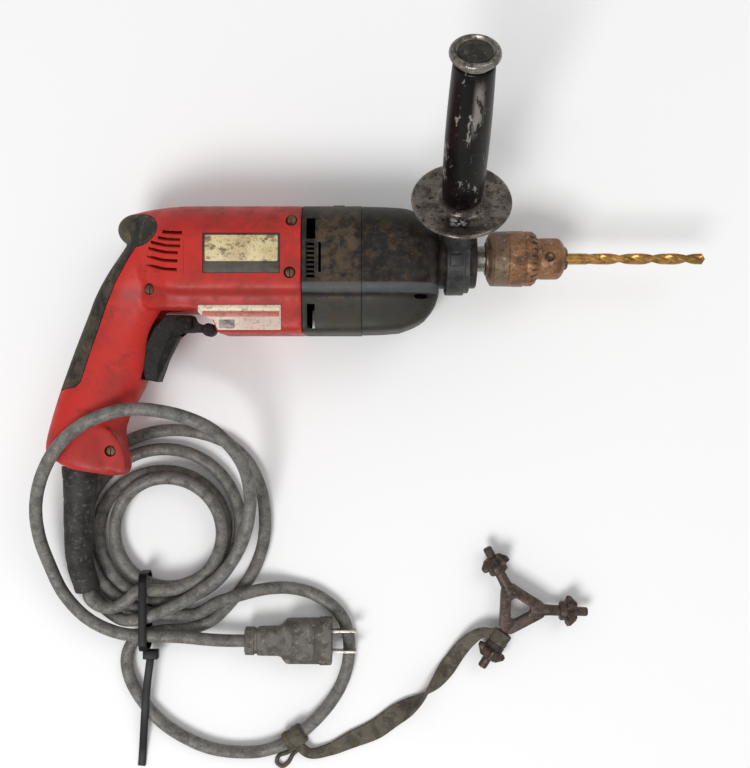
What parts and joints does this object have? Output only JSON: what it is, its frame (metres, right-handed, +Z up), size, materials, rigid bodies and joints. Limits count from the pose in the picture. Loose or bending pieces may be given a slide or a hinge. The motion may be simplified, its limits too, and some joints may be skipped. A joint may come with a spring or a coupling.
{
  "type": "hammer drill",
  "caption": "Corded hammer drill lying on its side, with a swivelling side handle, keyed chuck with a twist bit, coiled cord with plug, and a chuck key on a strap.",
  "frame": {"origin": "Middle of the underside of the drill as it lies on its left side, measured without the cord and what is on it.", "axes": "+X runs along the spindle to the tip of the bit, +Y to the top of the drill, and +Z up from the table through its right side."},
  "size_m": [0.4064, 0.4147, 0.1714],
  "materials": {
    "red_plastic": "worn satin",
    "dark_rubber": "matte, worn",
    "black_plastic": "matte",
    "cast_case": "dusty matte paint",
    "steel": "plain machined",
    "rusty_steel": "rust-stained",
    "gold_steel": "gold-toned coating on steel",
    "copper": "copper bars",
    "laminations": "stacked sheet",
    "carbon": "carbon",
    "brass": "plain",
    "label": "worn plate",
    "gloss_black": "glossy",
    "grey_metal": "glossy grey",
    "cord_rubber": "matte cord jacket",
    "tie_nylon": "nylon"
  },
  "bodies": {
    "drill_body": {"housing_right": "red_plastic", "housing_left": "red_plastic", "rear_grip": "dark_rubber", "screw_upper_front": "steel", "screw_lower_front": "steel", "screw_behind_trigger": "steel", "screw_foot": "steel", "name_plate": "label", "rating_plate": "label", "switch_body": "black_plastic", "motor_rear_bearing": "steel", "motor_front_bearing": "steel", "field_core": "laminations", "brush_right": "carbon", "brush_holder_right": "brass", "brush_left": "carbon", "brush_holder_left": "brass", "gearcase_rear": "cast_case", "bearing_plate": "cast_case", "gearcase_front": "cast_case", "spindle_rear_bearing": "steel", "ratchet_fixed": "steel", "hammer_spring": "steel", "cord_protector": "cord_rubber", "cord_clamp": "black_plastic", "cord_lead": "cord_rubber", "cord_coil": "cord_rubber", "cord_run": "cord_rubber", "plug_body": "cord_rubber", "plug_blade_1": "steel", "plug_blade_2": "steel", "cable_tie": "tie_nylon", "chuck_key": "steel", "key_strap": "dark_rubber"},
    "armature": {"armature_shaft": "steel", "armature_core": "laminations", "commutator": "copper", "fan": "black_plastic"},
    "intermediate": {"intermediate_shaft": "steel", "intermediate_gear": "steel"},
    "spindle_carrier": {"spindle_front_bearing": "steel"},
    "spindle": {"spindle": "steel", "spindle_gear": "steel", "ratchet_spindle": "steel", "chuck_body": "rusty_steel"},
    "chuck_collar": {"chuck_sleeve": "rusty_steel", "chuck_nut": "steel"},
    "jaw_a": {"jaw_1": "steel"},
    "jaw_b": {"jaw_2": "steel"},
    "jaw_c": {"jaw_3": "steel"},
    "bit": {"drill_bit": "gold_steel"},
    "trigger_paddle": {"trigger": "black_plastic"},
    "reversing_switch": {"reversing_lever": "black_plastic"},
    "lock": {"lock_button": "black_plastic"},
    "selector": {"mode_selector": "black_plastic"},
    "side_clamp": {"clamp_band": "cast_case"},
    "side_handle": {"handle_bolt": "steel", "side_flange": "grey_metal", "side_grip": "gloss_black", "grip_cap": "grey_metal"}
  },
  "joints": [
    {"name": "armature_spin", "type": "hinge", "parent": "drill_body", "child": "armature", "pos_m": [-0.043, 0.0198, 0.036], "axis": [1, 0, 0], "continuous": true},
    {"name": "intermediate_spin", "type": "hinge", "parent": "drill_body", "child": "intermediate", "pos_m": [-0.043, -0.0032, 0.036], "axis": [1, 0, 0], "continuous": true},
    {"name": "hammer_slide", "type": "slide", "parent": "drill_body", "child": "spindle_carrier", "axis": [1, 0, 0], "range_m": [-0.0015, 0], "stiffness_N_per_m": 3000, "springref_m": 0.004},
    {"name": "spindle_spin", "type": "hinge", "parent": "spindle_carrier", "child": "spindle", "pos_m": [-0.043, 0.0163, 0.036], "axis": [1, 0, 0], "continuous": true},
    {"name": "collar_turn", "type": "hinge", "parent": "spindle", "child": "chuck_collar", "pos_m": [0.087, 0.0163, 0.036], "axis": [1, 0, 0], "range_deg": [0, 720]},
    {"name": "jaw_a_slide", "type": "slide", "parent": "spindle", "child": "jaw_a", "axis": [-0.9848, 0.1504, 0.0868], "range_m": [0, 0.006]},
    {"name": "jaw_b_slide", "type": "slide", "parent": "spindle", "child": "jaw_b", "axis": [-0.9848, -0.1504, 0.0868], "range_m": [0, 0.006]},
    {"name": "jaw_c_slide", "type": "slide", "parent": "spindle", "child": "jaw_c", "axis": [-0.9848, 0, -0.1736], "range_m": [0, 0.006]},
    {"name": "bit_slide", "type": "slide", "parent": "spindle", "child": "bit", "axis": [1, 0, 0], "range_m": [0, 0.03]},
    {"name": "trigger_pull", "type": "slide", "parent": "drill_body", "child": "trigger_paddle", "axis": [-0.9513, 0.3081, 0], "range_m": [0, 0.006], "stiffness_N_per_m": 800, "springref_m": -0.004},
    {"name": "reverse_swing", "type": "hinge", "parent": "drill_body", "child": "reversing_switch", "pos_m": [-0.12, -0.0237, 0.036], "axis": [0, 1, 0], "range_deg": [-11, 11]},
    {"name": "lock_press", "type": "slide", "parent": "drill_body", "child": "lock", "axis": [0, 0, 1], "range_m": [0, 0.0025], "stiffness_N_per_m": 400, "springref_m": -0.002},
    {"name": "mode_slide", "type": "slide", "parent": "drill_body", "child": "selector", "axis": [0, 0, -1], "range_m": [0, 0.006]},
    {"name": "clamp_swivel", "type": "hinge", "parent": "drill_body", "child": "side_clamp", "pos_m": [0.04775, 0.0163, 0.036], "axis": [1, 0, 0], "range_deg": [-150, 45]},
    {"name": "side_grip_twist", "type": "hinge", "parent": "side_clamp", "child": "side_handle", "pos_m": [0.04775, 0.0163, 0.036], "axis": [0, 0.5592, 0.829], "range_deg": [0, 720]}
  ],
  "couplings": [
    {"joint": "intermediate_spin", "follows": "armature_spin", "ratio": -0.24324},
    {"joint": "spindle_spin", "follows": "armature_spin", "ratio": 0.10425},
    {"joint": "jaw_a_slide", "follows": "collar_turn", "m_per_rad": 0.000477},
    {"joint": "jaw_b_slide", "follows": "collar_turn", "m_per_rad": 0.000477},
    {"joint": "jaw_c_slide", "follows": "collar_turn", "m_per_rad": 0.000477}
  ]
}
